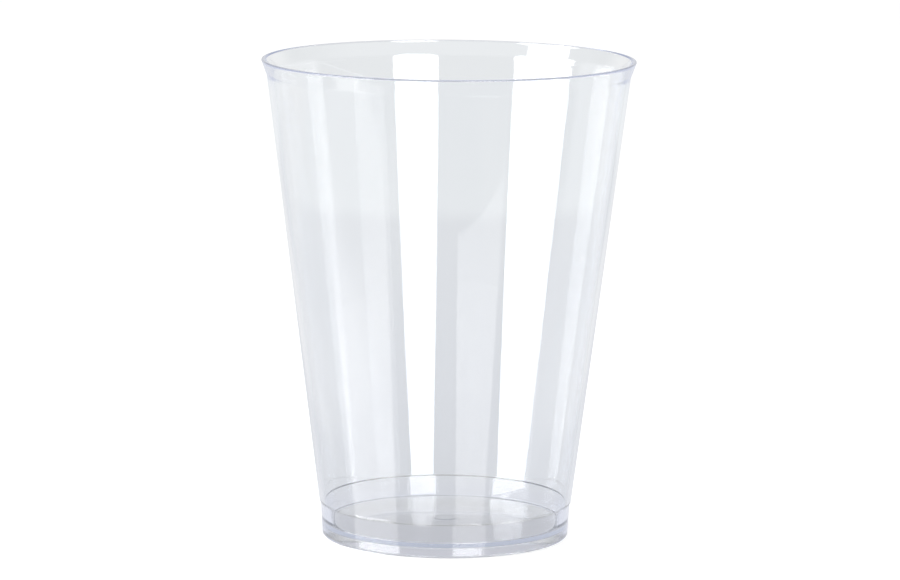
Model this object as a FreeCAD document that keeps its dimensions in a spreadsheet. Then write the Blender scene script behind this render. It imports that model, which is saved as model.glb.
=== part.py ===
import FreeCAD, Part
import math
import os

import Sketcher

# Clear injection-moulded tumbler: one piece of rigid polystyrene, open at the top.
# A straight tapered wall stands on a short base band, set in by a small stacking ledge,
# and ends in a flared lip, rounded inside. The floor is held above the table by a foot
# ring, rises a little towards its middle, and has a round boss there over the gate well.
#
# Units are millimetres. +Z is up, and the origin is the centre of the plane on which the
# foot ring rests. The cup is one half section turned about Z.

# Driving dimensions: alias, value, meaning. They are taken at sharp corners, before the
# rounds, and heights count up from the table unless the meaning says otherwise.
SIZES = [
    ("overall_height", 102.0, "top of the rim"),
    ("rim_diameter", 79.5, "outside of the lip at the top"),
    ("lip_flare", 1.25, "how far the lip leans out over its height"),
    ("lip_height", 3.6, "flared length outside, down from the top"),
    ("lip_depth", 2.8, "flared length inside, down from the top"),
    ("lip_thickness", 1.0, "level thickness of the lip at the top"),
    ("wall_thickness", 1.05, "level thickness of the tapered wall"),
    ("ledge_height", 7.3, "bottom of the tapered wall"),
    ("ledge_step", 0.3, "how far the wall stands out over the base band, and its slant"),
    ("foot_diameter", 52.5, "outside of the base band at the table"),
    ("band_draft", 0.4, "how far the base band leans out from the table to the ledge"),
    ("band_thickness", 1.2, "level thickness of the base band at the floor's edge"),
    ("floor_height", 3.0, "inside floor at its edge"),
    ("floor_thickness", 1.0, "upright thickness of the floor"),
    ("floor_rise", 0.4, "rise of the floor from its edge to its middle"),
    ("ring_width", 1.5, "foot ring at the table, from the outside in"),
    ("recess_draft", 0.35, "how much narrower the recess under the floor gets upwards"),
    ("boss_diameter", 4.8, "round boss in the middle of the floor"),
    ("boss_height", 0.2, "boss above the floor, and gate well above the recess"),
    ("well_diameter", 5.4, "gate well under the boss"),
    ("stub_diameter", 1.4, "stub left where the gate was cut"),
    ("stub_length", 0.45, "stub, down from the top of the gate well"),
    ("rim_round", 0.5, "radius of the rim's inner edge"),
    ("rim_flat", 0.3, "narrow slant along the rim's outer edge, where the mould parts"),
    ("foot_flat", 0.2, "narrow slant round the foot's outer edge"),
    ("floor_round", 0.8, "radius where the inside wall meets the floor"),
]

FULL_TURN = 360.0


def make_sheet(doc):
    """The spreadsheet that holds every driving dimension under its alias."""
    sheet = doc.addObject("Spreadsheet::Sheet", "Sizes")
    for row, (alias, value, meaning) in enumerate(SIZES, start=1):
        sheet.set(f"A{row}", alias)
        sheet.set(f"B{row}", str(value))
        sheet.set(f"C{row}", meaning)
        sheet.setAlias(f"B{row}", alias)
    doc.recompute()
    return sheet


class Section:
    """A closed outline in the body's XZ plane, bound to the sheet corner by corner.

    A corner is (name, radius, height) with the last two as expressions on the sheet, and
    may end with the alias of its round. A radius or height of "0" puts it on that axis.
    A rounded corner keeps its sharp place as a construction point, which the two sides
    still run through, so its dimensions mean the same with or without the round.
    """

    def __init__(self, body, sheet, name, corners):
        self.sheet = sheet
        self.sketch = body.newObject("Sketcher::SketchObject", name)
        plane = next(p for p in body.Origin.OriginFeatures if p.Role == "XZ_Plane")
        self.sketch.AttachmentSupport = [(plane, "")]
        self.sketch.MapMode = "FlatFace"
        self.corners = [corner + (None,) * (4 - len(corner)) for corner in corners]
        self.places = [self.sharp_place(corner) for corner in self.corners]
        reach = [self.tangent_length(index) for index in range(len(corners))]
        self.sides = [self.draw_side(index, reach) for index in range(len(corners))]
        for index, corner in enumerate(self.corners):
            if corner[3]:
                self.round_corner(index, reach[index])
            else:
                self.close_corner(index)
        body.Document.recompute()
        if not self.sketch.FullyConstrained:
            raise RuntimeError(name + " is not fully constrained")

    def sharp_place(self, corner):
        """Where the corner is now, so that the sketch is drawn where it will stay."""
        radius, height = (float(self.sheet.evalExpression(text)) for text in corner[1:3])
        return FreeCAD.Vector(radius, height, 0)

    def neighbours(self, index):
        """Unit vectors from a corner towards the corners before and after it."""
        before = self.places[index - 1] - self.places[index]
        after = self.places[(index + 1) % len(self.places)] - self.places[index]
        return before.normalize(), after.normalize()

    def tangent_length(self, index):
        """How far along each side the corner's round starts."""
        alias = self.corners[index][3]
        if not alias:
            return 0.0
        before, after = self.neighbours(index)
        return self.rounding(alias) / math.tan(before.getAngle(after) / 2)

    def rounding(self, alias):
        return float(self.sheet.evalExpression("Sizes." + alias))

    def draw_side(self, index, reach):
        """The straight side from a corner to the next, as far as the rounds leave it."""
        following = (index + 1) % len(self.places)
        start, end = self.places[index], self.places[following]
        along = (end - start).normalize()
        line = Part.LineSegment(start + along * reach[index], end - along * reach[following])
        return self.sketch.addGeometry(line, False)

    def close_corner(self, index):
        before, after = self.sides[index - 1], self.sides[index]
        self.sketch.addConstraint(Sketcher.Constraint("Coincident", before, 2, after, 1))
        self.bind_place(index, after, 1)

    def round_corner(self, index, reach):
        place, alias = self.places[index], self.corners[index][3]
        to_before, to_after = self.neighbours(index)
        half_angle = to_before.getAngle(to_after) / 2
        radius = self.rounding(alias)
        centre = place + (to_before + to_after).normalize() * (radius / math.sin(half_angle))
        ends = [place + to_before * reach, place + to_after * reach]
        turns_left = to_after.cross(to_before).z > 0
        first, last = ends if turns_left else ends[::-1]
        angles = [math.atan2(end.y - centre.y, end.x - centre.x) for end in (first, last)]
        circle = Part.Circle(centre, FreeCAD.Vector(0, 0, 1), radius)
        arc = self.sketch.addGeometry(Part.ArcOfCircle(circle, *angles), False)
        corner = self.sketch.addGeometry(Part.Point(place), True)

        before, after = self.sides[index - 1], self.sides[index]
        at_before, at_after = (1, 2) if turns_left else (2, 1)
        add = self.sketch.addConstraint
        add(Sketcher.Constraint("Tangent", before, 2, arc, at_before))
        add(Sketcher.Constraint("Tangent", arc, at_after, after, 1))
        add(Sketcher.Constraint("PointOnObject", corner, 1, before))
        add(Sketcher.Constraint("PointOnObject", corner, 1, after))
        self.bind(add(Sketcher.Constraint("Radius", arc, radius)),
                  self.corners[index][0] + "_round", "Sizes." + alias)
        self.bind_place(index, corner, 1)

    def bind_place(self, index, geometry, point):
        """Ties a point to the corner's two expressions, or to the axes where one is 0."""
        name, radius, height = self.corners[index][:3]
        place = self.places[index]
        add = self.sketch.addConstraint
        if radius == "0":
            add(Sketcher.Constraint("PointOnObject", geometry, point, -2))
        else:
            number = add(Sketcher.Constraint("DistanceX", -1, 1, geometry, point, place.x))
            self.bind(number, name + "_radius", radius)
        if height == "0":
            add(Sketcher.Constraint("PointOnObject", geometry, point, -1))
        else:
            number = add(Sketcher.Constraint("DistanceY", -1, 1, geometry, point, place.y))
            self.bind(number, name + "_height", height)

    def bind(self, number, label, expression):
        self.sketch.renameConstraint(number, label)
        self.sketch.setExpression("Constraints." + label, expression)


def make_tumbler(doc, sheet):
    body = doc.addObject("PartDesign::Body", "tumbler")
    body.Label = "tumbler"

    top = "Sizes.overall_height"
    rim = "Sizes.rim_diameter / 2"
    neck = f"({rim} - Sizes.lip_flare)"
    neck_height = f"({top} - Sizes.lip_height)"
    foot = "Sizes.foot_diameter / 2"
    band_top = f"({foot} + Sizes.band_draft)"
    band_height = "(Sizes.ledge_height - Sizes.ledge_step)"
    ledge = f"({band_top} + Sizes.ledge_step)"
    rim_flat_low = f"{rim} - Sizes.lip_flare * Sizes.rim_flat / Sizes.lip_height"
    foot_flat_high = f"{foot} + Sizes.band_draft * Sizes.foot_flat / {band_height}"

    # The inside of the wall runs parallel to its outside and carries on past the neck,
    # because the lip bends higher up inside than outside.
    slope = f"(({neck} - {ledge}) / ({neck_height} - Sizes.ledge_height))"
    bend = f"{neck} - Sizes.wall_thickness + {slope} * (Sizes.lip_height - Sizes.lip_depth)"
    floor_edge = (f"{foot} + Sizes.band_draft * Sizes.floor_height / {band_height}"
                  " - Sizes.band_thickness")
    floor_middle = "Sizes.floor_height + Sizes.floor_rise"
    boss_top = f"{floor_middle} + Sizes.boss_height"
    boss = "Sizes.boss_diameter / 2"

    ring = f"{foot} - Sizes.ring_width"
    recess_edge = "Sizes.floor_height - Sizes.floor_thickness"
    recess_middle = f"{recess_edge} + Sizes.floor_rise"
    well_top = f"{recess_middle} + Sizes.boss_height"
    well = "Sizes.well_diameter / 2"
    stub_end = f"{well_top} - Sizes.stub_length"
    stub = "Sizes.stub_diameter / 2"

    section = Section(body, sheet, "half_section", [
        ("stub_middle", "0", stub_end),
        ("stub_edge", stub, stub_end),
        ("stub_root", stub, well_top),
        ("well_edge", well, well_top),
        ("well_mouth", well, recess_middle),
        ("recess_corner", f"{ring} - Sizes.recess_draft", recess_edge),
        ("ring_corner", ring, "0"),
        ("foot_flat_low", f"{foot} - Sizes.foot_flat", "0"),
        ("foot_flat_high", foot_flat_high, "Sizes.foot_flat"),
        ("band_corner", band_top, band_height),
        ("ledge_corner", ledge, "Sizes.ledge_height"),
        ("neck", neck, neck_height),
        ("rim_flat_low", rim_flat_low, f"{top} - Sizes.rim_flat"),
        ("rim_flat_high", f"{rim} - Sizes.rim_flat", top),
        ("rim_inside", f"{rim} - Sizes.lip_thickness", top, "rim_round"),
        ("inside_bend", bend, f"{top} - Sizes.lip_depth"),
        ("inside_ledge", f"{ledge} - Sizes.wall_thickness", "Sizes.ledge_height"),
        ("floor_corner", floor_edge, "Sizes.floor_height", "floor_round"),
        ("boss_foot", boss, floor_middle),
        ("boss_edge", boss, boss_top),
        ("boss_middle", "0", boss_top),
    ])

    turned = body.newObject("PartDesign::Revolution", "turned_section")
    turned.Profile = section.sketch
    turned.ReferenceAxis = (section.sketch, ["V_Axis"])
    turned.Angle = FULL_TURN
    doc.recompute()
    return body


def check_document(doc, bodies):
    """Stops when a feature failed or a piece is not one valid, closed solid."""
    for item in doc.Objects:
        if "Invalid" in item.State or "Error" in item.State:
            raise RuntimeError(f"{item.Label} failed: {item.State}")
    for body in bodies:
        shape = body.Shape
        if shape.isNull() or not shape.isValid() or len(shape.Solids) != 1:
            raise RuntimeError(f"{body.Label} is not one valid solid")


def main():
    doc = FreeCAD.newDocument("tumbler_cup")
    sheet = make_sheet(doc)
    bodies = [make_tumbler(doc, sheet)]
    check_document(doc, bodies)
    os.makedirs("parts", exist_ok=True)
    for body in bodies:
        box = body.Shape.optimalBoundingBox(False)
        print(f"{body.Label}: {box.XLength:.2f} x {box.YLength:.2f} x {box.ZLength:.2f} mm, "
              f"{body.Shape.Volume / 1000:.2f} cm3, {len(body.Shape.Faces)} faces")
        body.Shape.exportStep(os.path.join("parts", body.Label + ".step"))


main()
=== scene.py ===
"""Clear plastic tumbler: a tapered wall with a flared lip, a stacking ledge and a raised floor.

The cup is one moulding. Its half section is drawn, rounded and spun here, and it takes the
place of the solid of the same name.
"""
import math

import bmesh
import bpy
from bpy.props import FloatProperty, FloatVectorProperty, IntProperty, PointerProperty
from mathutils import Matrix, Vector


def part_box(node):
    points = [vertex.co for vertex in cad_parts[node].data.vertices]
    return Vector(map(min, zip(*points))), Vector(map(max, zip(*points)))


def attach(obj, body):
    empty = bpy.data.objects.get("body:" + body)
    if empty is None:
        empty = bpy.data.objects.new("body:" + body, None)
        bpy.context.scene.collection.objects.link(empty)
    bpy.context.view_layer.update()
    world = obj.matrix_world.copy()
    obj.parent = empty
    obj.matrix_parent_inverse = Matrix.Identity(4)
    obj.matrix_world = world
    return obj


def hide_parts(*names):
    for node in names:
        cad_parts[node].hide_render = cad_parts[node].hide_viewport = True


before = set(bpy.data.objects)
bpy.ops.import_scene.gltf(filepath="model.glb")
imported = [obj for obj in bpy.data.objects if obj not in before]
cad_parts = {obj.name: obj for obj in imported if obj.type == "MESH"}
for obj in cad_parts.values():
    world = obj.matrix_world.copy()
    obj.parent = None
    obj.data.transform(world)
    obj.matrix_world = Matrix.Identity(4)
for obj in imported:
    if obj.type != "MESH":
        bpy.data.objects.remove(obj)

bl_info = {
    "name": "Clear Tumbler",
    "version": (1, 0, 0),
    "blender": (4, 5, 0),
    "location": "View3D > Sidebar > Tumbler",
    "description": "Builds a clear plastic tumbler and the white studio it stands in",
    "category": "Add Mesh",
}

CUP = "tumbler"
BODY = "root"
CAD_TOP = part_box(CUP)[1].z
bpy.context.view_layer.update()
MM = 0.001
PHOTO_WIDTH = 900
SENSOR_WIDTH = 36.0
TABLE_RADIUS = 6.0
TABLE_STEPS = 96
TABLE_GAP = 0.1 * MM


def length(name, description, millimetres):
    """A length that a user may change, kept in metres."""
    return FloatProperty(name=name, description=description, default=millimetres * MM,
                         min=0.0, precision=5, subtype="DISTANCE", unit="LENGTH")


def angle(name, description, degrees):
    return FloatProperty(name=name, description=description, default=math.radians(degrees),
                         subtype="ANGLE", unit="ROTATION")


def amount(name, description, value):
    return FloatProperty(name=name, description=description, default=value, precision=4)


def count(name, description, value):
    return IntProperty(name=name, description=description, default=value, min=1)


def colour(name, description, value):
    return FloatVectorProperty(name=name, description=description, default=value, size=3,
                               min=0.0, max=1.0, subtype="COLOR")


class TumblerShape(bpy.types.PropertyGroup):
    """Half section of the cup. Places are sharp corners, before the rounds."""

    height: length("Height", "Top of the rim", CAD_TOP / MM)
    rim_radius: length("Rim Radius", "Outside of the lip at the top", 39.75)
    lip_thickness: length("Lip Thickness", "Level thickness of the lip at the top", 1.0)
    lip_height: length("Lip Height", "Flared length outside, down from the top", 3.4)
    lip_depth: length("Lip Depth", "Flared length inside, down from the top", 3.35)
    neck_radius: length("Neck Radius", "Outside of the wall under the lip", 38.5)
    wall: length("Wall", "Level thickness of the tapered wall", 1.05)
    ledge_radius: length("Ledge Radius", "Outside of the wall at its bottom", 26.95)
    ledge_height: length("Ledge Height", "Bottom of the tapered wall", 7.3)
    ledge_step: length("Ledge Step", "How far the wall stands out over the band", 0.3)
    foot_radius: length("Foot Radius", "Outside of the base band at the table", 26.25)
    band: length("Band", "Level thickness of the base band at the floor", 1.2)
    floor_height: length("Floor Height", "Inside floor at its edge", 3.0)
    floor_thickness: length("Floor Thickness", "Upright thickness of the floor", 1.0)
    floor_rise: length("Floor Rise", "Rise of the floor to its middle", 0.4)
    ring: length("Ring", "Width of the foot ring at the table", 1.5)
    recess_draft: length("Recess Draft", "How much the recess narrows upwards", 0.35)
    boss_radius: length("Boss Radius", "Round boss in the middle of the floor", 2.4)
    boss_height: length("Boss Height", "Boss above the floor", 0.04)
    well_radius: length("Well Radius", "Gate well under the boss", 2.7)
    stub_radius: length("Stub Radius", "Stub left where the gate was cut", 0.7)
    stub_length: length("Stub Length", "Stub, down from the top of the well", 0.3)
    rim_round_outside: length("Outer Rim Round", "Radius of the rim's outer edge", 0.3)
    rim_round_inside: length("Inner Rim Round", "Radius of the rim's inner edge", 0.5)
    neck_round: length("Neck Round", "Radius of the crease under the lip", 3.0)
    bend_round: length("Bend Round", "Radius where the lip bends inside", 3.5)
    ledge_round: length("Ledge Round", "Radius of the ledge's two edges", 0.08)
    inside_round: length("Inside Round", "Radius inside the wall at the ledge", 2.5)
    floor_round: length("Floor Round", "Radius where the wall meets the floor", 0.3)
    foot_round: length("Foot Round", "Radius of the foot's two edges", 0.35)
    recess_round: length("Recess Round", "Radius where the recess meets the foot ring", 0.1)
    small_round: length("Small Round", "Radius of the boss, the well and the stub", 0.015)
    turns: count("Turns", "Steps in a full turn", 288)


class TumblerPlastic(bpy.types.PropertyGroup):
    """Clear polystyrene."""

    tint: colour("Tint", "What one pass through a wall leaves of white", (0.985, 0.993, 1.0))
    depth_tint: colour("Depth Tint", "What the thick parts turn to", (0.58, 0.65, 0.92))
    depth: amount("Depth", "How fast the depth tint builds up, per metre", 6.5)
    refraction: amount("Refraction", "Index of refraction", 1.59)
    roughness: amount("Roughness", "Roughness of the polished faces", 0.02)
    haze_scale: amount("Haze Scale", "How fine the changes in roughness are, per metre", 420.0)
    flow: length("Flow", "Height of the slow ripples that the mould's flow leaves", 0.008)
    flow_scale: amount("Flow Scale", "How fine the ripples are, per metre", 30.0)
    flow_upright: amount("Flow Upright", "Share of that scale in the upright direction", 0.2)
    flow_tint: amount("Flow Tint", "What the top of a ripple leaves of the tint", 0.995)
    satin: amount("Satin", "Roughness that the floor has on top of that", 0.065)
    satin_height: length("Satin Height", "Top of the satin floor", 4.2)
    satin_radius: length("Satin Radius", "Edge of the satin floor", 25.3)
    # Painted shade: dark lines along the rim's outer edge, under the ledge and on the foot ring,
    # where those edges look dark.
    edge_shade_tint: colour("Line Tint", "What the mould's three edges leave", (0.57, 0.58, 0.62))
    line_width: length("Line Width", "Height of those edges", 0.25)
    line_fade: amount("Line Fade", "Share of that height over which they fade", 0.2)
    ledge_line: amount("Ledge Line", "Strength of the edge under the ledge", 0.15)
    foot_line: amount("Foot Line", "Strength of the edge on top of the foot ring", 0.2)
    edge_tint: colour("Edge Tint", "Light that has run along inside the floor", (0.88, 0.90, 0.94))
    lip_tint: colour("Lip Tint", "Light that has run along inside the lip", (0.68, 0.72, 0.88))
    edge_turns: amount("Edge Turns", "Turns inside the wall before that light comes out", 2.5)


class StudioStage(bpy.types.PropertyGroup):
    """White table, softboxes and the camera of the photograph."""

    table: colour("Table", "Colour of the table", (0.80, 0.80, 0.80))
    backdrop: amount("Backdrop", "Light added to the table for the camera", 0.55)
    # Painted shadow: the table seen through the cup is darkest under it and lighter outwards.
    shadow_under_cup: colour("Under the Cup", "The table seen through the floor", (0.68, 0.69, 0.755))
    shade_beside_cup: colour("Beside the Cup", "The table seen through the base", (0.725, 0.74, 0.78))
    near_table: colour("Near Table", "The table seen low in the wall", (0.785, 0.80, 0.838))
    edge_of_table: colour("Edge of Table", "The table short of its edge", (0.838, 0.853, 0.878))
    far_table: colour("Far Table", "The table beyond its edge", (0.925, 0.945, 0.96))
    table_edge: length("Table Edge", "Where the table gets lighter, as if it ended", 480.0)
    # Painted light: the table is whiter to the cup's sides.
    side_light: amount("Side Light", "How much whiter the table is to the cup's sides", 0.6)
    side_from: length("Side From", "Where that starts, from the cup's axis", 75.0)
    side_full: length("Side Full", "Where it is at its full strength", 105.0)
    side_until: length("Side Until", "Where it starts to fade", 135.0)
    side_end: length("Side End", "Where it ends", 195.0)
    shade_through: amount("Shade Through", "Share of the real shade seen through the cup", 0.12)
    gloss: amount("Gloss", "How strongly the near table mirrors the lamps", 0.35)
    gloss_roughness: amount("Gloss Roughness", "Roughness of that mirror", 0.06)
    gloss_front: length("Gloss Front", "Reach of the gloss towards the camera", 200.0)
    gloss_back: length("Gloss Back", "Where the gloss starts to fade behind the cup", 20.0)
    gloss_end: length("Gloss End", "Where it ends there", 80.0)
    gloss_fade: length("Gloss Fade", "Where the gloss starts to weaken, from the axis", 130.0)
    gloss_weak: length("Gloss Weak", "Where it is at its weakest", 247.0)
    far_gloss: amount("Far Gloss", "Share of the gloss that is left there", 0.4)
    room: amount("Room", "Light of the room on the table", 0.6)
    dim_room: amount("Dim Room", "Light of the room behind the camera", 0.22)
    dim_from: angle("Dim From", "Where the room gets dim, over the horizon", 1.0)
    dim_full: angle("Dim Full", "Where it is dimmest", 3.0)
    high_room: amount("High Room", "Light of the room's upper part", 0.65)
    high_from: angle("High From", "Where the upper part starts", 14.0)
    high_full: angle("High Full", "Where it is at its full light", 30.0)
    ahead_from: amount("Ahead From", "Where the wall ahead starts, 1 being straight ahead", 0.05)
    ahead_full: amount("Ahead Full", "Where nothing but that wall is seen", 0.2)
    upper_wall: amount("Upper Wall", "Light of the wall ahead, high up", 0.45)
    upper_from: angle("Upper From", "Where the wall ahead gets darker", 8.0)
    upper_full: angle("Upper Full", "Where it is darkest", 16.0)
    softbox: amount("Softbox", "Radiance of the two softboxes", 4.5)
    top_light: amount("Top Light", "Radiance of the light overhead", 0.8)
    focal_length: amount("Focal Length", "In millimetres, on a 36 mm sensor", 181.854)
    distance: length("Distance", "Camera in front of the cup's axis", 955.3)
    camera_height: length("Camera Height", "Camera above the table", 206.7)
    pitch: angle("Pitch", "How far the camera looks down", 9.162)
    roll: angle("Roll", "How far the camera leans", 0.50)
    offset: amount("Offset", "How far left of the middle the cup stands, in pixels", 2.95)


class Value:
    """A number from a shader socket, for sums written as Python."""

    def __init__(self, shader, socket):
        self.shader, self.socket = shader, socket

    def maths(self, operation, first, second):
        return self.shader.node("ShaderNodeMath", {"operation": operation}, {0: first, 1: second})

    def __add__(self, other):
        return self.maths("ADD", self, other)

    def __radd__(self, other):
        return self.maths("ADD", other, self)

    def __sub__(self, other):
        return self.maths("SUBTRACT", self, other)

    def __rsub__(self, other):
        return self.maths("SUBTRACT", other, self)

    def __mul__(self, other):
        return self.maths("MULTIPLY", self, other)

    def __rmul__(self, other):
        return self.maths("MULTIPLY", other, self)


class Shader:
    """The node tree of a material or world, filled by one method."""

    def __init__(self, owner):
        owner.use_nodes = True
        self.tree = owner.node_tree
        self.tree.nodes.clear()

    def node(self, kind, settings=None, inputs=None, output=0):
        """Adds a node, sets it up, fills its sockets and gives the wanted output."""
        made = self.tree.nodes.new(kind)
        for name, value in (settings or {}).items():
            if name == "stops":
                self.set_stops(made.color_ramp, value)
            else:
                setattr(made, name, value)
        for name, value in (inputs or {}).items():
            if isinstance(value, Value):
                self.tree.links.new(value.socket, made.inputs[name])
            else:
                made.inputs[name].default_value = value
        return Value(self, made.outputs[output]) if made.outputs else made

    @staticmethod
    def set_stops(ramp, stops):
        for element, (place, tone) in zip(ramp.elements, stops):
            element.position, element.color = place, tone
        for place, tone in stops[len(ramp.elements):]:
            ramp.elements.new(place).color = tone


def seen_as(shader, plain, in_gloss, in_glass, in_camera):
    """A strength that depends on what sees it: other surfaces, gloss, glass or the camera."""
    strength = plain
    for output, wanted in (("Is Glossy Ray", in_gloss), ("Is Transmission Ray", in_glass),
                           ("Is Camera Ray", in_camera)):
        seen = shader.node("ShaderNodeLightPath", output=output)
        strength = strength + seen * (wanted - strength)
    return strength


def smooth_step(shader, value, low, high, first=0.0, last=1.0):
    """Runs smoothly from first to last as the value goes from low to high."""
    return shader.node("ShaderNodeMapRange", {"interpolation_type": "SMOOTHSTEP"}, {
        "Value": value, "From Min": low, "From Max": high, "To Min": first, "To Max": last})


def new_object(name, data):
    made = bpy.data.objects.new(name, data)
    bpy.context.scene.collection.objects.link(made)
    return made


class HalfSection:
    """An outline in the XZ plane that is rounded and spun about Z."""

    SUPPORT = 0.1 * MM  # from a round to the vertex that keeps the flat next to it
    WELD = 0.0005 * MM  # points nearer than this are one

    def __init__(self):
        self.mesh = bmesh.new()
        self.corners = []

    def corner(self, radius, height, rounding=0.0, steps=4):
        self.corners.append((Vector((radius, 0.0, height)), rounding, steps))

    def reach(self, index):
        """How far along its sides a corner's round starts."""
        place, rounding = self.corners[index][:2]
        if not rounding:
            return 0.0
        before = self.corners[index - 1][0] - place
        after = self.corners[index + 1][0] - place
        return rounding / math.tan(before.angle(after) / 2)

    def draw_side(self, index, start, end):
        """One side, with a vertex near each end that keeps the flat next to the rounds."""
        new = self.mesh.verts.new
        side = end.co - start.co
        along = side.normalized()
        near, far = (self.reach(at) + self.SUPPORT for at in (index, index + 1))
        chain = [start, end]
        if side.length > near + far + self.SUPPORT:
            chain[1:1] = [new(start.co + along * near), new(end.co - along * far)]
        for pair in zip(chain, chain[1:]):
            self.mesh.edges.new(pair)

    def draw(self):
        ends = [self.mesh.verts.new(corner[0]) for corner in self.corners]
        for index, (start, end) in enumerate(zip(ends, ends[1:])):
            self.draw_side(index, start, end)
        reaches = [self.reach(index) for index in range(len(ends))]
        for end, reach, (_, _, steps) in zip(ends, reaches, self.corners):
            if reach:
                bmesh.ops.bevel(self.mesh, geom=[end], offset=reach, offset_type="OFFSET",
                                segments=steps, profile=0.5, affect="VERTICES",
                                clamp_overlap=False, material=-1)

    def spin(self, turns):
        bmesh.ops.spin(self.mesh, geom=self.mesh.verts[:] + self.mesh.edges[:],
                       cent=(0, 0, 0), axis=(0, 0, 1), dvec=(0, 0, 0),
                       angle=2 * math.pi, steps=turns, use_merge=True)
        bmesh.ops.remove_doubles(self.mesh, verts=self.mesh.verts, dist=self.WELD)
        bmesh.ops.recalc_face_normals(self.mesh, faces=self.mesh.faces)
        for face in self.mesh.faces:
            face.smooth = True

    def finish(self, name):
        data = bpy.data.meshes.new(name)
        self.mesh.to_mesh(data)
        self.mesh.free()
        return new_object(name, data)


def make_cup(shape):
    """The whole cup, from the middle of its underside round the lip to its inside floor."""
    small = shape.small_round
    top = shape.height
    band_top = shape.ledge_radius - shape.ledge_step
    band_height = shape.ledge_height - shape.ledge_step
    neck_height = top - shape.lip_height
    slope = (shape.neck_radius - shape.ledge_radius) / (neck_height - shape.ledge_height)
    bend = shape.neck_radius - shape.wall + slope * (shape.lip_height - shape.lip_depth)
    lean = (band_top - shape.foot_radius) / band_height
    floor_edge = shape.foot_radius + lean * shape.floor_height - shape.band
    floor_middle = shape.floor_height + shape.floor_rise
    ring_inside = shape.foot_radius - shape.ring
    recess = shape.floor_height - shape.floor_thickness
    recess_middle = recess + shape.floor_rise
    well_top = recess_middle + shape.boss_height

    section = HalfSection()
    section.corner(0.0, well_top - shape.stub_length)
    section.corner(shape.stub_radius, well_top - shape.stub_length, small)
    section.corner(shape.stub_radius, well_top, small)
    section.corner(shape.well_radius, well_top, small)
    section.corner(shape.well_radius, recess_middle, small)
    section.corner(ring_inside - shape.recess_draft, recess, shape.recess_round)
    section.corner(ring_inside, 0.0, shape.foot_round)
    section.corner(shape.foot_radius, 0.0, shape.foot_round)
    section.corner(band_top, band_height, shape.ledge_round)
    section.corner(shape.ledge_radius, shape.ledge_height, shape.ledge_round)
    section.corner(shape.neck_radius, neck_height, shape.neck_round)
    section.corner(shape.rim_radius, top, shape.rim_round_outside, steps=6)
    section.corner(shape.rim_radius - shape.lip_thickness, top, shape.rim_round_inside, steps=8)
    section.corner(bend, top - shape.lip_depth, shape.bend_round, steps=6)
    section.corner(shape.ledge_radius - shape.wall, shape.ledge_height, shape.inside_round)
    section.corner(floor_edge, shape.floor_height, shape.floor_round, steps=8)
    section.corner(shape.boss_radius, floor_middle, small)
    section.corner(shape.boss_radius, floor_middle + shape.boss_height, small)
    section.corner(0.0, floor_middle + shape.boss_height)
    section.draw()
    section.spin(shape.turns)
    return section.finish("tumbler_cup")


def painted_edge_shade(shader, look, height, radius):
    """Painted shade: 1 on the rim's outer edge, less under the ledge and on the foot ring, where
    those edges look dark.
    """
    shape = bpy.context.scene.tumbler_shape
    soft = look.line_fade * look.line_width
    rim_bottom = shape.height - look.line_width
    rim_middle = shape.rim_radius - 0.5 * shape.lip_thickness
    wall_middle = shape.ledge_radius - 0.5 * shape.wall
    ledge_top = shape.ledge_height
    ledge_bottom = ledge_top - shape.ledge_step
    ring_top = shape.floor_height - shape.floor_thickness
    ring_inside = shape.foot_radius - shape.ring - shape.recess_draft
    rim = (smooth_step(shader, height, rim_bottom - soft, rim_bottom)
           * smooth_step(shader, radius, rim_middle, rim_middle + soft))
    foot = (smooth_step(shader, height, ring_top - soft, ring_top, look.foot_line, 0.0)
            * smooth_step(shader, radius, ring_inside - soft, ring_inside))
    ledge = (smooth_step(shader, height, ledge_bottom - soft, ledge_bottom)
             * smooth_step(shader, height, ledge_top, ledge_top + soft, look.ledge_line, 0.0)
             * smooth_step(shader, radius, wall_middle, wall_middle + soft))
    return rim + foot + ledge


def noise(shader, place, scale, detail, roughness=0.5):
    return shader.node("ShaderNodeTexNoise", {"noise_dimensions": "3D"}, {
        "Vector": place, "Scale": scale, "Detail": detail, "Roughness": roughness})


def mix_colours(shader, factor, first, second):
    """First where the factor is 0, second where it is 1."""
    return shader.node("ShaderNodeMix", {"data_type": "RGBA"},
                       {0: factor, 6: first, 7: second}, output=2)


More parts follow.
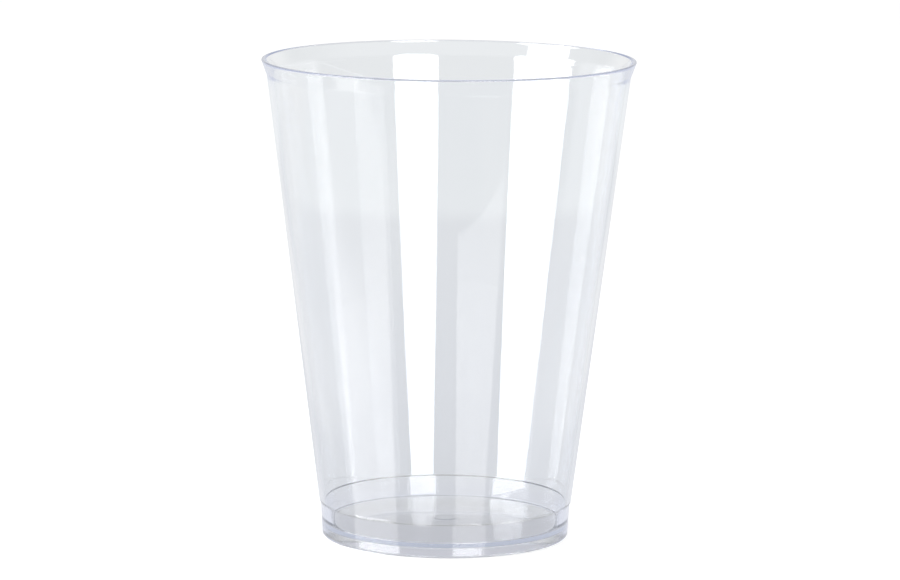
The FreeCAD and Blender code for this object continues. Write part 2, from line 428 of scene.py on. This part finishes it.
def plastic(look):
    """Clear polystyrene: polished faces, slow flow ripples, blue where it is thick, and painted
    shade along the rim, the ledge and the foot ring.
    """
    shape = bpy.context.scene.tumbler_shape
    material = bpy.data.materials.new("clear_polystyrene")
    shader = Shader(material)
    place = shader.node("ShaderNodeTexCoord", output="Object")
    height = shader.node("ShaderNodeSeparateXYZ", inputs={"Vector": place}, output="Z")
    level = shader.node("ShaderNodeVectorMath", {"operation": "MULTIPLY"},
                        {0: place, 1: (1, 1, 0)})
    radius = shader.node("ShaderNodeVectorMath", {"operation": "LENGTH"}, {0: level}, output=1)

    stretched = shader.node("ShaderNodeMapping", inputs={
        "Vector": place, "Scale": (1, 1, look.flow_upright)})
    flow = noise(shader, stretched, look.flow_scale, 1.0, 0.4)
    ripples = shader.node("ShaderNodeBump", inputs={
        "Strength": 1.0, "Distance": look.flow, "Height": flow}, output="Normal")
    tint = mix_colours(shader, flow, (*look.tint, 1.0),
                       (*(look.flow_tint * part for part in look.tint), 1.0))
    # Painted shade along the rim, the ledge and the foot ring.
    lines = painted_edge_shade(shader, look, height, radius)

    # The haze is 0.5 on average, so both sums keep the roughness that they start from.
    haze = noise(shader, place, look.haze_scale, 3.0)
    polished = look.roughness * (0.5 + haze)
    soft_height, soft_radius = 0.95 * look.satin_height, 0.985 * look.satin_radius
    floor = (smooth_step(shader, height, soft_height, look.satin_height, 1.0, 0.0)
             * smooth_step(shader, radius, soft_radius, look.satin_radius, 1.0, 0.0))
    satin = look.satin * (0.6 + 0.8 * haze) * floor
    surface = shader.node("ShaderNodeBsdfPrincipled", inputs={
        "Base Color": mix_colours(shader, lines, tint, (*look.edge_shade_tint, 1.0)),
        "Roughness": polished + satin,
        "IOR": look.refraction,
        "Transmission Weight": 1.0,
        "Normal": ripples,
    })
    inside = shader.node("ShaderNodeVolumeAbsorption", inputs={
        "Color": (*look.depth_tint, 1.0), "Density": look.depth})

    # Light that is caught inside the wall comes out after a few turns.
    turns = shader.node("ShaderNodeLightPath", output="Glossy Depth")
    spent = shader.node("ShaderNodeMath", {"operation": "GREATER_THAN"},
                        {0: turns, 1: look.edge_turns})
    from_base, from_lip = (
        shader.node("ShaderNodeBsdfTransparent", inputs={"Color": (*tone, 1.0)})
        for tone in (look.edge_tint, look.lip_tint))
    in_lip = smooth_step(shader, height, shape.height - 2 * shape.lip_height,
                         shape.height - shape.lip_height)
    leaving = shader.node("ShaderNodeMixShader", inputs={
        "Fac": in_lip, 1: from_base, 2: from_lip})
    both = shader.node("ShaderNodeMixShader", inputs={"Fac": spent, 1: surface, 2: leaving})
    shader.node("ShaderNodeOutputMaterial", inputs={"Surface": both, "Volume": inside})
    return material


class TUMBLER_OT_cup(bpy.types.Operator):
    """Add the tumbler in place of its solid"""

    bl_idname = "tumbler.cup"
    bl_label = "Add Tumbler"

    def execute(self, context):
        cup = make_cup(context.scene.tumbler_shape)
        cup.data.materials.append(plastic(context.scene.tumbler_plastic))
        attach(cup, BODY)
        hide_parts(CUP)
        return {"FINISHED"}


def table_tone(shader, stage, distance, aside):
    """Painted shade and light on the table: darker towards the cup's axis as a painted shadow, and
    whiter to the cup's sides as painted light.
    """
    edge_place = 0.98  # of the table's edge on the ramp, between its last two stops
    # Painted shadow: the darker stops near the cup's axis.
    stops = ((0.05, stage.shadow_under_cup), (0.11, stage.shade_beside_cup), (0.36, stage.near_table),
             (0.93, stage.edge_of_table), (1.0, stage.far_table))
    tone = shader.node("ShaderNodeValToRGB", {
        "stops": [(at, (*shade, 1.0)) for at, shade in stops]},
        {0: distance * (edge_place / stage.table_edge)})
    lit = (smooth_step(shader, aside, stage.side_from, stage.side_full)
           * smooth_step(shader, aside, stage.side_until, stage.side_end, 1.0, 0.0))
    return mix_colours(shader, stage.side_light * lit, tone, (1.0, 1.0, 1.0, 1.0))


def table_gloss(shader, stage, distance, ahead):
    """A mirror near the cup that only rays from a reflection see."""
    soft = 0.01 * stage.gloss_front
    near = (smooth_step(shader, ahead, -stage.gloss_front - soft, -stage.gloss_front + soft)
            * smooth_step(shader, ahead, stage.gloss_back, stage.gloss_end, 1.0, 0.0)
            * smooth_step(shader, distance, stage.gloss_fade, stage.gloss_weak,
                          1.0, stage.far_gloss))
    polish = shader.node("ShaderNodeBsdfAnisotropic", inputs={
        "Color": (stage.gloss, stage.gloss, stage.gloss, 1.0),
        "Roughness": stage.gloss_roughness})
    none = shader.node("ShaderNodeEmission", inputs={"Strength": 0.0})
    return shader.node("ShaderNodeMixShader", inputs={
        "Fac": seen_as(shader, 0.0, 1.0, 0.0, 0.0) * near, 1: none, 2: polish})


def table_surface(stage):
    """Matt white table that keeps the cup's shadow and looks white to the camera."""
    material = bpy.data.materials.new("white_table")
    shader = Shader(material)
    place = shader.node("ShaderNodeTexCoord", output="Object")
    distance = shader.node("ShaderNodeVectorMath", {"operation": "LENGTH"}, {0: place}, output=1)
    sideways, ahead = (shader.node("ShaderNodeSeparateXYZ", inputs={"Vector": place}, output=axis)
                       for axis in "XY")
    aside = shader.node("ShaderNodeMath", {"operation": "ABSOLUTE"}, {0: sideways})
    matt = shader.node("ShaderNodeBsdfDiffuse", inputs={"Color": (*stage.table, 1.0)})
    lift = shader.node("ShaderNodeEmission", inputs={
        "Strength": seen_as(shader, 0.0, 0.0, 0.0, stage.backdrop)})
    lifted = shader.node("ShaderNodeAddShader", inputs={0: matt, 1: lift})
    # Seen through the cup and in its reflections, the table has painted shadow and light from
    # table_tone.
    plain = shader.node("ShaderNodeEmission", inputs={
        "Color": table_tone(shader, stage, distance, aside)})
    through = 1.0 - stage.shade_through
    both = shader.node("ShaderNodeMixShader", inputs={
        "Fac": seen_as(shader, 0.0, through, through, 0.0), 1: lifted, 2: plain})
    glossy = shader.node("ShaderNodeAddShader", inputs={
        0: both, 1: table_gloss(shader, stage, distance, ahead)})
    shader.node("ShaderNodeOutputMaterial", inputs={"Surface": glossy})
    return material


def make_table(stage):
    """A round table top just under the cup."""
    outline = bmesh.new()
    bmesh.ops.create_circle(outline, cap_ends=True, segments=TABLE_STEPS, radius=TABLE_RADIUS)
    bmesh.ops.translate(outline, verts=outline.verts, vec=(0, 0, -TABLE_GAP))
    data = bpy.data.meshes.new("table")
    outline.to_mesh(data)
    outline.free()
    data.materials.append(table_surface(stage))
    table = new_object("table", data)


def make_room(stage):
    """White all round to the camera; in reflections dim behind the camera, low down."""
    world = bpy.data.worlds.new("white_room")
    bpy.context.scene.world = world
    shader = Shader(world)
    way = shader.node("ShaderNodeTexCoord", output="Generated")
    up = shader.node("ShaderNodeSeparateXYZ", inputs={"Vector": way}, output="Z")
    ahead = Value(shader, up.socket.node.outputs["Y"])

    def by_height(low, high, first, last):
        return smooth_step(shader, up, math.sin(low), math.sin(high), first, last)

    behind = (by_height(stage.dim_from, stage.dim_full, 1.0, stage.dim_room)
              + by_height(stage.high_from, stage.high_full, 0.0, stage.high_room - stage.dim_room))
    wall_ahead = by_height(stage.upper_from, stage.upper_full, 1.0, stage.upper_wall)
    in_front = smooth_step(shader, ahead, stage.ahead_from, stage.ahead_full)
    seen = behind + in_front * (wall_ahead - behind)
    strength = seen_as(shader, stage.room, seen, seen, 1.0)
    light = shader.node("ShaderNodeBackground", inputs={"Strength": strength})
    shader.node("ShaderNodeOutputWorld", inputs={"Surface": light})


def add_softbox(name, azimuth, distance, height, width, depth, radiance):
    """An upright area lamp that faces the cup's axis. Azimuth is to the camera's right."""
    side = math.radians(azimuth)
    outward = Vector((math.sin(side), -math.cos(side), 0))
    lamp = bpy.data.lights.new(name, "AREA")
    lamp.shape, lamp.size, lamp.size_y = "ELLIPSE", width, depth
    lamp.energy = math.pi * width * depth * radiance
    made = new_object(name, lamp)
    made.location = outward * distance + Vector((0, 0, height))
    made.rotation_euler = outward.to_track_quat("Z", "Y").to_euler()
    made.visible_camera = False
    return made


def make_camera(stage):
    data = bpy.data.cameras.new("camera")
    data.sensor_width = SENSOR_WIDTH
    data.lens = stage.focal_length
    data.shift_x = stage.offset / PHOTO_WIDTH
    data.clip_start, data.clip_end = 0.01, 50.0
    camera = new_object("camera", data)
    turn = Matrix.Rotation(math.pi / 2 - stage.pitch, 4, "X") @ Matrix.Rotation(stage.roll, 4, "Z")
    camera.matrix_world = Matrix.Translation((0, -stage.distance, stage.camera_height)) @ turn
    bpy.context.scene.camera = camera


class TUMBLER_OT_stage(bpy.types.Operator):
    """Add the table, the room's light, the softboxes and the camera"""

    bl_idname = "tumbler.stage"
    bl_label = "Add Studio"

    def execute(self, context):
        stage = context.scene.tumbler_stage
        make_table(stage)
        make_room(stage)
        add_softbox("softbox_left", azimuth=-68.5, distance=1.0, height=0.33,
                    width=0.90, depth=0.80, radiance=stage.softbox)
        add_softbox("softbox_right", azimuth=22.5, distance=1.1, height=0.33,
                    width=0.62, depth=0.72, radiance=stage.softbox)
        overhead = add_softbox("light_overhead", azimuth=0, distance=0.0, height=1.6,
                               width=1.2, depth=1.2, radiance=stage.top_light)
        overhead.rotation_euler = (0, 0, 0)  # it faces down, not across
        make_camera(stage)
        context.scene.view_settings.view_transform = "Standard"
        return {"FINISHED"}


class TUMBLER_PT_panel(bpy.types.Panel):
    """Sidebar panel that lists the pieces"""

    bl_label = "Clear Tumbler"
    bl_idname = "TUMBLER_PT_panel"
    bl_space_type = "VIEW_3D"
    bl_region_type = "UI"
    bl_category = "Tumbler"

    def draw(self, context):
        for step in STEPS:
            self.layout.operator(step.bl_idname)


STEPS = (TUMBLER_OT_cup, TUMBLER_OT_stage)
GROUPS = {"tumbler_shape": TumblerShape, "tumbler_plastic": TumblerPlastic,
          "tumbler_stage": StudioStage}
CLASSES = (*GROUPS.values(), *STEPS, TUMBLER_PT_panel)


def register():
    for kind in CLASSES:
        bpy.utils.register_class(kind)
    for name, group in GROUPS.items():
        setattr(bpy.types.Scene, name, PointerProperty(type=group))


def unregister():
    for name in GROUPS:
        delattr(bpy.types.Scene, name)
    for kind in reversed(CLASSES):
        bpy.utils.unregister_class(kind)


def main():
    register()
    bpy.ops.tumbler.cup()
    bpy.ops.tumbler.stage()


if __name__ == "__main__":
    main()
